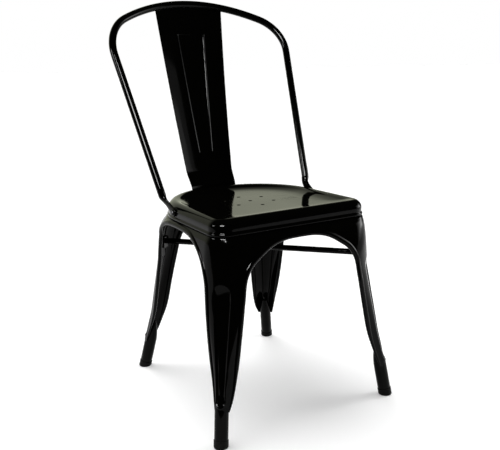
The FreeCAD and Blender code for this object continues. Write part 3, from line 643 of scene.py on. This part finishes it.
def side_half_width(y, outside):
    return RIM_HALF_WIDTH - RIM_TAPER * (y + RIM_FRONT) + outside * math.sqrt(1 + RIM_TAPER ** 2)


def rim_loop(outside):
    """Points round the seat at a distance outside the rim's crest, always the same number of them."""
    front = -RIM_FRONT - outside
    rear = RIM_REAR + outside
    front_x = side_half_width(front, outside)
    rear_x = side_half_width(rear, outside)
    corners = [np.array(place) for place in
               ((-front_x, front), (front_x, front), (rear_x, rear), (-rear_x, rear))]
    inwards = max(-outside - ROLL_WIDTH, 0.0)
    front_radius = RIM_FRONT_RADIUS + max(outside, -ROLL_WIDTH) + inwards * DISH_ROUNDING
    rear_radius = RIM_REAR_RADIUS + outside
    radii = [front_radius, front_radius, rear_radius, rear_radius]
    arcs = []
    for k, corner in enumerate(corners):
        a = unit(corners[k - 1] - corner)
        b = unit(corners[(k + 1) % len(corners)] - corner)
        half = math.acos(a @ b) / 2
        centre = corner + unit(a + b) * radii[k] / math.sin(half)
        first = corner + a * radii[k] / math.tan(half) - centre
        last = corner + b * radii[k] / math.tan(half) - centre
        start = math.atan2(first[1], first[0])
        turn = (math.atan2(last[1], last[0]) - start + math.pi) % (2 * math.pi) - math.pi
        angles = start + turn * np.linspace(0, 1, RIM_ARC_POINTS[k], endpoint=False)
        arc = centre + radii[k] * np.stack([np.cos(angles), np.sin(angles)], 1)
        arcs.append((arc, centre + last))
    points = []
    for k, (arc, start) in enumerate(arcs):
        end = arcs[(k + 1) % len(arcs)][0][0]
        points.extend(arc)
        shares = np.linspace(0, 1, RIM_LINE_POINTS[k], endpoint=False)[:, None]
        points.extend(start + (end - start) * shares)
    return np.array(points)


def rim_rows(section):
    """One loop round the seat for each distance and height of a section."""
    rows = []
    for outside, height in section:
        loop = rim_loop(outside)
        rows.append(np.column_stack([loop, np.full(len(loop), height)]))
    return rows


def drain_positions():
    places = [(0.0, DRAIN_CENTRE_Y)]
    for k in range(DRAIN_RING_HOLES):
        angle = math.radians(90 + 360 / DRAIN_RING_HOLES * k)
        places.append((DRAIN_PITCH * math.cos(angle), DRAIN_CENTRE_Y + DRAIN_PITCH * math.sin(angle)))
    return places


def circle(x, y, radius):
    return [(x + radius * math.cos(a), y + radius * math.sin(a)) for a in around(DRAIN_SIDES)]


def point_in_loop(point, loop):
    x, y = point
    x0, y0 = loop[:, 0], loop[:, 1]
    x1, y1 = np.roll(x0, -1), np.roll(y0, -1)
    crosses = (y0 > y) != (y1 > y)
    rise = np.where(y1 == y0, 1.0, y1 - y0)
    at = x0 + (y - y0) / rise * (x1 - x0)
    return bool(np.count_nonzero(crosses & (x < at)) % 2)


def signed_area(corners):
    """Twice the area of a flat polygon, positive where its corners run anticlockwise."""
    return sum(p.x * q.y - q.x * p.y for p, q in zip(corners, corners[1:] + corners[:1]))


def dish_floor(shell, loop, level, underneath):
    """Flat floor of the dish inside a loop, with a round gap for the collar of each drain hole."""
    given = [Vector(p) for p in loop]
    outlines = [list(range(len(given)))]
    for x, y in drain_positions():
        first = len(given)
        given.extend(Vector(p) for p in circle(x, y, DRAIN_COLLAR))
        outlines.append(list(range(first, len(given)))[::-1])
    edges = []
    for outline in outlines:
        edges.extend(zip(outline, outline[1:] + outline[:1]))
    points, _, faces, _, _, _ = delaunay_2d_cdt(given, edges, [], 0, FLOOR_PRECISION)
    base = len(shell.points)
    shell.points.extend((p.x, p.y, level) for p in points)
    for face in faces:
        corners = [points[k] for k in face]
        centre = sum(corners, Vector((0, 0))) / len(face)
        hole_distance = min((centre - Vector(hole)).length for hole in drain_positions())
        if hole_distance < DRAIN_COLLAR * INSIDE_COLLAR or not point_in_loop(centre, loop):
            continue
        ring = [base + k for k in face]
        if (signed_area(corners) > 0) == underneath:
            ring.reverse()
        shell.faces.append(tuple(ring))


def drain_hole(shell, x, y):
    """Rounded wall of a drain hole, from the collar on top to the collar underneath."""
    section = [(DRAIN_COLLAR, 0.0)]
    section.extend((DRAIN_RADIUS + outside, depth) for outside, depth in DRAIN_LIP)
    section.append((DRAIN_COLLAR, SHEET))
    rows = [[(*p, SEAT_FLOOR - depth) for p in circle(x, y, radius)] for radius, depth in section]
    shell.grid(rows, wrap=True)


def seat_pan():
    """The pressed seat: outer face, inner face, both faces of the flat floor, and the holes."""
    profile = through(SEAT_PROFILE, SEAT_ROWS)
    tangent = unit(np.gradient(profile, axis=0))
    below = profile + SHEET * np.stack([-tangent[:, 1], tangent[:, 0]], 1)
    first = int(np.argmax(profile[:, 1] > SKIRT_INSIDE_TOP))
    inside = [(below[first, 0], height) for height in SKIRT_INSIDE] + list(below[first:])
    shell = Shell()
    shell.grid(rim_rows(profile), wrap=True)
    shell.grid(rim_rows(inside), wrap=True, flip=True)
    loop = rim_loop(profile[-1, 0])
    dish_floor(shell, loop, SEAT_FLOOR, False)
    dish_floor(shell, loop, SEAT_FLOOR - SHEET, True)
    for x, y in drain_positions():
        drain_hole(shell, x, y)
    return shell.piece("seat_pan_paint")


# Bars

def bar(name, stations, wide_direction, count, sides):
    """Smooth bar through stations of x, y, z, half width and half thickness."""
    path = through(stations, count)
    centre = path[:, :3]
    along = unit(np.gradient(centre, axis=0))
    wide_direction = np.array(wide_direction, float)
    wide = unit(wide_direction - along * (along @ wide_direction)[:, None])
    thick = np.cross(along, wide)
    cosines = np.cos(around(sides))[:, None]
    sines = np.sin(around(sides))[:, None]
    rows = []
    for k in range(count):
        rows.append(centre[k] + cosines * wide[k] * path[k, 3] + sines * thick[k] * path[k, 4])
    shell = Shell()
    start = shell.grid(rows, wrap=True)
    shell.cap(start, sides, flip=True)
    shell.cap(start + (count - 1) * sides, sides)
    return shell.piece(name)


def lean(x, rise, bow):
    """A place on the leaning plane of the hoop, or behind it by the bow."""
    y = HOOP_BASE_Y + rise * math.sin(HOOP_LEAN) + bow
    return (x, y, HOOP_BASE_Z + rise * math.cos(HOOP_LEAN))


def bowed(x, rise, radius, angle, widest):
    """A place on an arc of the hoop, bowed backwards towards the middle."""
    x = x + radius * math.cos(angle)
    bow = HOOP_BOW * (1 - min(x / widest, 1) ** 2)
    return lean(x, rise + radius * math.sin(angle), bow)


def hoop_half():
    """Places along the hoop from its straight foot, round the shoulder, to the middle of its top.

    The shoulder's arc touches the straight side, and the top's arc from inside.
    """
    top_rise = (OVERALL_HEIGHT - TUBE_RADIUS - HOOP_BASE_Z) / math.cos(HOOP_LEAN)
    centre_rise = top_rise - HOOP_TOP_RADIUS
    length = math.hypot(HOOP_SIDE_SLOPE, 1.0)
    dx = HOOP_SIDE_SLOPE / length
    dr = 1.0 / length
    from_x = HOOP_BASE_HALF - dr * HOOP_SHOULDER_RADIUS
    from_r = dx * HOOP_SHOULDER_RADIUS - centre_rise
    gap = HOOP_TOP_RADIUS - HOOP_SHOULDER_RADIUS
    across = from_x * dx + from_r * dr
    side = -across + math.sqrt(across * across - (from_x ** 2 + from_r ** 2 - gap ** 2))
    shoulder = (from_x + dx * side, from_r + dr * side + centre_rise, HOOP_SHOULDER_RADIUS)
    top = (0.0, centre_rise, HOOP_TOP_RADIUS)
    first = math.atan2(-dx, dr)
    last = math.atan2(shoulder[1] - centre_rise, shoulder[0])
    places = []
    for k in range(HOOP_SIDE_STEPS):
        share = side * k / HOOP_SIDE_STEPS
        places.append(lean(HOOP_BASE_HALF + dx * share, dr * share, 0.0))
    widest = HOOP_BASE_HALF + dx * side
    for (x, rise, radius), start, end in ((shoulder, first, last), (top, last, math.pi / 2)):
        for angle in np.linspace(start, end, HOOP_ARC_STEPS + 1)[:-1]:
            places.append(bowed(x, rise, radius, angle, widest))
    places.append(bowed(*top, math.pi / 2, widest))
    return places


def back_hoop():
    half = [place + (TUBE_RADIUS, TUBE_RADIUS) for place in hoop_half()]
    end = []
    for y, z, wide, thick in HOOP_END:
        end.append((side_half_width(y, SKIRT_REACH) + FIT_GAP + thick, y, z, wide, thick))
    right = half[::-1] + end
    left = [(-station[0],) + station[1:] for station in right[::-1]]
    return bar("back_hoop_paint", left + right[1:], (0, 1, 0), HOOP_ROWS, HOOP_SIDES)


def brace_bar(name, front_side, lift):
    """Bar from a front leg to the opposite rear leg, lifted and pressed flat where the two cross."""
    front = np.array([BRACE_FRONT[0] * front_side, BRACE_FRONT[1], BRACE_Z])
    rear = np.array([-BRACE_REAR[0] * front_side, BRACE_REAR[1], BRACE_Z])
    along = unit(rear - front)
    middle = np.array([0, BRACE_CROSS_Y, BRACE_Z])
    round_size = (BRACE_RADIUS, BRACE_RADIUS)
    flat_size = (2 * BRACE_RADIUS - abs(lift) * BRACE_SPREAD, abs(lift))
    stations = [(*front, *round_size)]
    for distance, share, flat in BRACE_STATIONS:
        place = middle + along * distance + np.array([0, 0, lift * share])
        stations.append((*place, *(flat_size if flat else round_size)))
    stations.append((*rear, *round_size))
    return bar(name, stations, np.cross([0, 0, 1], along), BRACE_ROWS, BRACE_SIDES)


# Back splat

def splat_line(heights):
    """The y of the splat's edges at each height: a bowed plate above the crease, a knee below it."""
    knee = through(SPLAT_KNEE, KNEE_POINTS)
    knee_y = np.interp(heights, knee[::-1, 0], knee[::-1, 1])
    share = (heights - SPLAT_CREASE_Z) / (SPLAT_TOP_Z - SPLAT_CREASE_Z)
    bow = 4 * SPLAT_BOW * share * (1 - share)
    plate_y = SPLAT_CREASE_Y + (SPLAT_TOP_Y - SPLAT_CREASE_Y) * share + bow
    return np.where(heights > SPLAT_CREASE_Z, plate_y, knee_y)


def rib_height(x, z):
    """How far the two converging ribs and the bar across their tops stand proud at a place."""
    rib_share = (RIB_TOP - z) / (RIB_TOP - RIB_BOTTOM)
    rib_x = RIB_TOP_HALF + (RIB_BOTTOM_HALF - RIB_TOP_HALF) * rib_share
    beyond_ends = np.maximum(z - RIB_TOP, 0) + np.maximum(RIB_BOTTOM - z, 0)
    from_rib = np.hypot(np.abs(np.abs(x) - rib_x), beyond_ends)
    from_bar = np.hypot(z - RIB_TOP, np.maximum(np.abs(x) - RIB_TOP_HALF, 0))
    return RIB_HEIGHT * smoothstep(RIB_HALF_WIDTH, 0, np.minimum(from_rib, from_bar))


def rounded_edge(shell, front, back, flip):
    """Rounded edge between the front and the back face of a sheet."""
    outward = np.sign(front[:, :1]) * np.array([[1.0, 0, 0]])
    middle = (front + back) / 2
    arm = (front - back) / 2
    rows = []
    for angle in np.linspace(0, math.pi, SPLAT_EDGE_ROWS):
        bulge = SHEET / 2 * math.sin(angle) * SPLAT_EDGE_ROUNDING
        rows.append(middle + arm * math.cos(angle) + outward * bulge)
    shell.grid(rows, flip=flip)


def back_splat():
    plate = np.linspace(SPLAT_TOP_Z - SPLAT_TOP_GAP, SPLAT_CREASE_Z, SPLAT_PLATE_ROWS, endpoint=False)
    heights = np.concatenate([plate, np.linspace(SPLAT_CREASE_Z, SPLAT_FOOT_Z, SPLAT_KNEE_ROWS)])
    share = (heights - SPLAT_FOOT_Z) / (SPLAT_TOP_Z - SPLAT_FOOT_Z)
    half = (SPLAT_FOOT_HALF + (SPLAT_TOP_HALF - SPLAT_FOOT_HALF) * share)[:, None]
    radius = (half ** 2 + SPLAT_HOLLOW ** 2) / (2 * SPLAT_HOLLOW)
    x = half * np.linspace(-1, 1, SPLAT_COLUMNS)
    z = np.repeat(heights[:, None], SPLAT_COLUMNS, 1)
    y = splat_line(heights)[:, None] + SPLAT_HOLLOW - radius + np.sqrt(radius ** 2 - x ** 2)
    y -= rib_height(x, z)
    front = np.stack([x, y, z], -1)
    back = np.stack([x, y + SHEET, z], -1)
    shell = Shell()
    shell.grid(front, flip=True)
    shell.grid(back)
    rounded_edge(shell, front[:, 0], back[:, 0], False)
    rounded_edge(shell, front[:, -1], back[:, -1], True)
    shell.grid(np.stack([front[-1], back[-1]]), flip=True)
    return shell.piece("back_splat_paint")


# Materials

def socket(node, name, value):
    node.inputs[name].default_value = value


def new_material(name):
    material = bpy.data.materials.new(name)
    material.use_nodes = True
    tree = material.node_tree
    tree.nodes.clear()
    output = tree.nodes.new("ShaderNodeOutputMaterial")
    shader = tree.nodes.new("ShaderNodeBsdfPrincipled")
    tree.links.new(shader.outputs["BSDF"], output.inputs["Surface"])
    return material, tree, shader


def object_place(tree):
    return tree.nodes.new("ShaderNodeTexCoord").outputs["Object"]


def noise(tree, vector, settings):
    node = tree.nodes.new("ShaderNodeTexNoise")
    for name, number in zip(("Scale", "Detail", "Roughness"), settings):
        socket(node, name, number)
    tree.links.new(vector, node.inputs["Vector"])
    return node.outputs["Fac"]


def spread(tree, value, source, target):
    """Stretch a value from one range to another, and hold it at the ends."""
    node = tree.nodes.new("ShaderNodeMapRange")
    for name, number in zip(("From Min", "From Max", "To Min", "To Max"), (*source, *target)):
        socket(node, name, number)
    tree.links.new(value, node.inputs["Value"])
    return node.outputs["Result"]


def combine(tree, operation, first, second):
    node = tree.nodes.new("ShaderNodeMath")
    node.operation = operation
    for k, value in enumerate((first, second)):
        if isinstance(value, (int, float)):
            node.inputs[k].default_value = value
        else:
            tree.links.new(value, node.inputs[k])
    return node.outputs[0]


def blend_colour(tree, factor, first, second):
    node = tree.nodes.new("ShaderNodeMix")
    node.data_type = "RGBA"
    tree.links.new(factor, node.inputs[0])
    for k, colour in zip(MIX_COLOURS, (first, second)):
        node.inputs[k].default_value = (*colour, 1)
    return node.outputs[MIX_COLOUR_RESULT]


def sharp_edges(tree, sharp):
    """Zero on flat surfaces and one on edges that are sharper than a range."""
    geometry = tree.nodes.new("ShaderNodeNewGeometry")
    return spread(tree, geometry.outputs["Pointiness"], sharp, ZERO_TO_ONE)


def bump(tree, height, settings):
    node = tree.nodes.new("ShaderNodeBump")
    for name, number in zip(("Strength", "Distance"), settings):
        socket(node, name, number)
    tree.links.new(height, node.inputs["Height"])
    return node


def gloss_paint():
    """Black gloss paint over pressed steel: faint orange peel, slow waves and worn edges."""
    material, tree, shader = new_material("black_gloss_paint")
    place = object_place(tree)
    broken = spread(tree, noise(tree, place, PAINT_WEAR_NOISE), PAINT_WEAR_PATCHES, ZERO_TO_ONE)
    wear = combine(tree, "MULTIPLY", sharp_edges(tree, PAINT_SHARP), broken)
    tint = combine(tree, "MULTIPLY", wear, PAINT_WEAR_TINT)
    tree.links.new(blend_colour(tree, tint, PAINT_COLOUR, PRIMER_COLOUR), shader.inputs["Base Color"])
    grain = combine(tree, "MULTIPLY", noise(tree, place, PAINT_GRAIN_NOISE), PAINT_GRAIN_SHARE)
    uneven = combine(tree, "ADD", noise(tree, place, PAINT_CLOUD_NOISE), grain)
    rough = spread(tree, uneven, PAINT_UNEVEN, PAINT_ROUGHNESS)
    rough = combine(tree, "ADD", rough, combine(tree, "MULTIPLY", wear, PAINT_WEAR_ROUGHNESS))
    tree.links.new(rough, shader.inputs["Roughness"])
    socket(shader, "IOR", PAINT_IOR)
    peel = bump(tree, noise(tree, place, PEEL_NOISE), PEEL_BUMP)
    wave = bump(tree, noise(tree, place, WAVE_NOISE), WAVE_BUMP)
    tree.links.new(peel.outputs["Normal"], wave.inputs["Normal"])
    tree.links.new(wave.outputs["Normal"], shader.inputs["Normal"])
    return material


def moulded_rubber():
    """Matt black rubber with slightly paler scuffs and a fine grain."""
    material, tree, shader = new_material("black_moulded_rubber")
    place = object_place(tree)
    patches = noise(tree, place, RUBBER_SCUFF_NOISE)
    scuff = spread(tree, patches, RUBBER_SCUFF_PATCHES, ZERO_TO_ONE)
    tree.links.new(blend_colour(tree, scuff, RUBBER_COLOUR, SCUFF_COLOUR), shader.inputs["Base Color"])
    tree.links.new(spread(tree, scuff, ZERO_TO_ONE, RUBBER_ROUGHNESS), shader.inputs["Roughness"])
    socket(shader, "IOR", RUBBER_IOR)
    grain = bump(tree, noise(tree, place, RUBBER_GRAIN_NOISE), RUBBER_BUMP)
    tree.links.new(grain.outputs["Normal"], shader.inputs["Normal"])
    return material


def blackened_steel():
    """Dark steel of the bolts, washers, nuts and rivet, rubbed brighter on its edges."""
    material, tree, shader = new_material("blackened_steel")
    place = object_place(tree)
    patches = spread(tree, noise(tree, place, STEEL_RUB_NOISE), STEEL_RUB_PATCHES, STEEL_RUB_SHARE)
    rubbed = combine(tree, "MULTIPLY", sharp_edges(tree, STEEL_SHARP), patches)
    tree.links.new(blend_colour(tree, rubbed, STEEL_COLOUR, RUBBED_COLOUR), shader.inputs["Base Color"])
    socket(shader, "Metallic", STEEL_METALLIC)
    rough = spread(tree, noise(tree, place, STEEL_CLOUD_NOISE), STEEL_CLOUDS, STEEL_ROUGHNESS)
    tree.links.new(rough, shader.inputs["Roughness"])
    grain = bump(tree, noise(tree, place, STEEL_GRAIN_NOISE), STEEL_BUMP)
    tree.links.new(grain.outputs["Normal"], shader.inputs["Normal"])
    return material


# The chair

paint = gloss_paint()
rubber = moulded_rubber()
steel = blackened_steel()


def add(piece, node):
    """Paint a piece and let it stand for a solid of the part."""
    piece.data.materials.append(paint)
    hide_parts(node)
    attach(piece, "root")


def material_of(name):
    if "glide" in name:
        return rubber
    if name.startswith(("hoop_", "brace_centre")):
        return steel
    return paint


front_leg = Leg(FRONT_LEG, -1, FRONT_ARCH, SIDE_ARCH_FRONT)
rear_leg = Leg(REAR_LEG, 1, REAR_ARCH, SIDE_ARCH_REAR)
for leg, name, foot in ((front_leg, "front", FRONT_FOOT), (rear_leg, "rear", REAR_FOOT)):
    shell = leg.build(foot)
    add(shell.piece(name + "_right_leg_paint"), name + "_right_leg")
    add(shell.piece(name + "_left_leg_paint", mirror=True), name + "_left_leg")
add(seat_pan(), "seat_pan")
add(back_hoop(), "back_hoop")
add(back_splat(), "back_splat")
add(brace_bar("upper_cross_brace_paint", 1, BRACE_LIFT), "upper_cross_brace")
add(brace_bar("lower_cross_brace_paint", -1, -BRACE_LIFT), "lower_cross_brace")

for name, node in frame["nodes"].items():
    if node.type == "MESH":
        for slot in node.material_slots:
            slot.material = material_of(name)


# Studio

def seen_by_eye(tree):
    """Two switches: one for what the camera sees, and one for what shows in mirrors or through glass."""
    path = tree.nodes.new("ShaderNodeLightPath")
    mirrored = combine(tree, "MAXIMUM", path.outputs["Is Glossy Ray"], path.outputs["Is Transmission Ray"])
    return path.outputs["Is Camera Ray"], mirrored


def floor_material():
    """Pale matt floor that looks a little brighter than its light makes it."""
    material, tree, shader = new_material("pale_floor")
    socket(shader, "Roughness", FLOOR_ROUGHNESS)
    socket(shader, "Specular IOR Level", FLOOR_SPECULAR)
    clouds = noise(tree, object_place(tree), FLOOR_CLOUD_NOISE)
    tree.links.new(blend_colour(tree, clouds, *FLOOR_COLOURS), shader.inputs["Base Color"])
    camera_ray, mirrored = seen_by_eye(tree)
    lift = combine(tree, "MULTIPLY", combine(tree, "MAXIMUM", camera_ray, mirrored), FLOOR_LIFT)
    socket(shader, "Emission Color", (*WHITE, 1))
    tree.links.new(lift, shader.inputs["Emission Strength"])
    return material


def floor():
    """Pale sheet that the chair stands on. It ends just in front of the view."""
    view = math.radians(CAMERA_AZIMUTH)
    ahead = Vector((math.sin(view), math.cos(view), 0))
    aside = Vector((math.cos(view), -math.sin(view), 0))
    corners = []
    for forward, sideways in ((FLOOR_FRONT, -FLOOR_SIZE), (FLOOR_FRONT, FLOOR_SIZE),
                              (FLOOR_SIZE, FLOOR_SIZE), (FLOOR_SIZE, -FLOOR_SIZE)):
        corners.append(tuple(ahead * forward + aside * sideways))
    mesh = bpy.data.meshes.new("floor")
    mesh.from_pydata(corners, [], [(0, 1, 2, 3)])
    mesh.materials.append(floor_material())
    obj = bpy.data.objects.new("floor", mesh)
    bpy.context.scene.collection.objects.link(obj)


def towards(azimuth, elevation):
    """Direction from the chair, with azimuth zero in front of it and positive to its left."""
    azimuth = math.radians(azimuth)
    elevation = math.radians(elevation)
    flat = math.cos(elevation)
    return Vector((-math.sin(azimuth) * flat, -math.cos(azimuth) * flat, math.sin(elevation)))


def world():
    """White to the camera, and even light on matt surfaces.

    In the paint it is a bright sweep behind the chair, with a dark room everywhere else.
    """
    made = bpy.data.worlds.new("studio")
    bpy.context.scene.world = made
    made.use_nodes = True
    tree = made.node_tree
    tree.nodes.clear()
    output = tree.nodes.new("ShaderNodeOutputWorld")
    shader = tree.nodes.new("ShaderNodeBackground")
    tree.links.new(shader.outputs[0], output.inputs["Surface"])
    dot = tree.nodes.new("ShaderNodeVectorMath")
    dot.operation = "DOT_PRODUCT"
    tree.links.new(tree.nodes.new("ShaderNodeTexCoord").outputs["Generated"], dot.inputs[0])
    dot.inputs[1].default_value = towards(SWEEP_AZIMUTH, 0.0)
    sweep = spread(tree, dot.outputs["Value"], SWEEP_EDGE, (DARK_LEVEL, SWEEP_LEVEL))
    camera_ray, mirrored = seen_by_eye(tree)
    level = tree.nodes.new("ShaderNodeMix")
    tree.links.new(mirrored, level.inputs[0])
    level.inputs[MIX_NUMBERS[0]].default_value = STUDIO_LEVEL
    tree.links.new(sweep, level.inputs[MIX_NUMBERS[1]])
    tree.links.new(combine(tree, "MAXIMUM", level.outputs[0], camera_ray), shader.inputs["Strength"])
    tree.links.new(blend_colour(tree, mirrored, WHITE, REFLECTED_TINT), shader.inputs["Color"])


def lamp(name, kind, power, direction):
    """A lamp that lights the chair from a direction."""
    data = bpy.data.lights.new(name, kind)
    data.energy = power
    obj = bpy.data.objects.new(name, data)
    obj.rotation_euler = direction.to_track_quat("Z", "Y").to_euler()
    bpy.context.scene.collection.objects.link(obj)
    return obj


def overhead():
    """Soft light from above and behind that doesn't show in the paint."""
    obj = lamp("overhead", "SUN", OVERHEAD_STRENGTH, towards(OVERHEAD_AZIMUTH, OVERHEAD_ELEVATION))
    obj.data.angle = math.radians(OVERHEAD_ANGLE)
    obj.visible_glossy = False


def softbox(name, azimuth, elevation, distance, size, power, on_matt):
    outward = towards(azimuth, elevation)
    obj = lamp(name, "AREA", power, outward)
    obj.data.shape = "RECTANGLE"
    obj.data.size, obj.data.size_y = size
    obj.location = Vector(SOFTBOX_AIM) + outward * distance
    obj.visible_diffuse = on_matt


def camera():
    data = bpy.data.cameras.new("camera")
    data.sensor_width = CAMERA_SENSOR
    data.lens = CAMERA_LENS
    data.shift_x, data.shift_y = CAMERA_SHIFT
    data.clip_start = CAMERA_CLIP
    tilt = math.radians(CAMERA_TILT)
    roll = math.radians(CAMERA_ROLL)
    view = math.radians(CAMERA_AZIMUTH)
    flat = math.cos(tilt)
    ahead = Vector((math.sin(view) * flat, math.cos(view) * flat, -math.sin(tilt)))
    right = Vector((math.cos(view), -math.sin(view), 0))
    up = right.cross(ahead)
    turned_right = right * math.cos(roll) + up * math.sin(roll)
    turned_up = up * math.cos(roll) - right * math.sin(roll)
    basis = Matrix((turned_right, turned_up, -ahead)).transposed().to_4x4()
    x, y, z = CAMERA_PLACE
    basis.translation = Vector((x, y - FRAME_Y, z)) * MM
    obj = bpy.data.objects.new("camera", data)
    obj.matrix_world = basis
    bpy.context.scene.collection.objects.link(obj)
    bpy.context.scene.camera = obj


floor()
world()
overhead()
for settings in SOFTBOXES:
    softbox(*settings)
camera()
bpy.context.scene.view_settings.view_transform = "Standard"

bpy.context.view_layer.update()
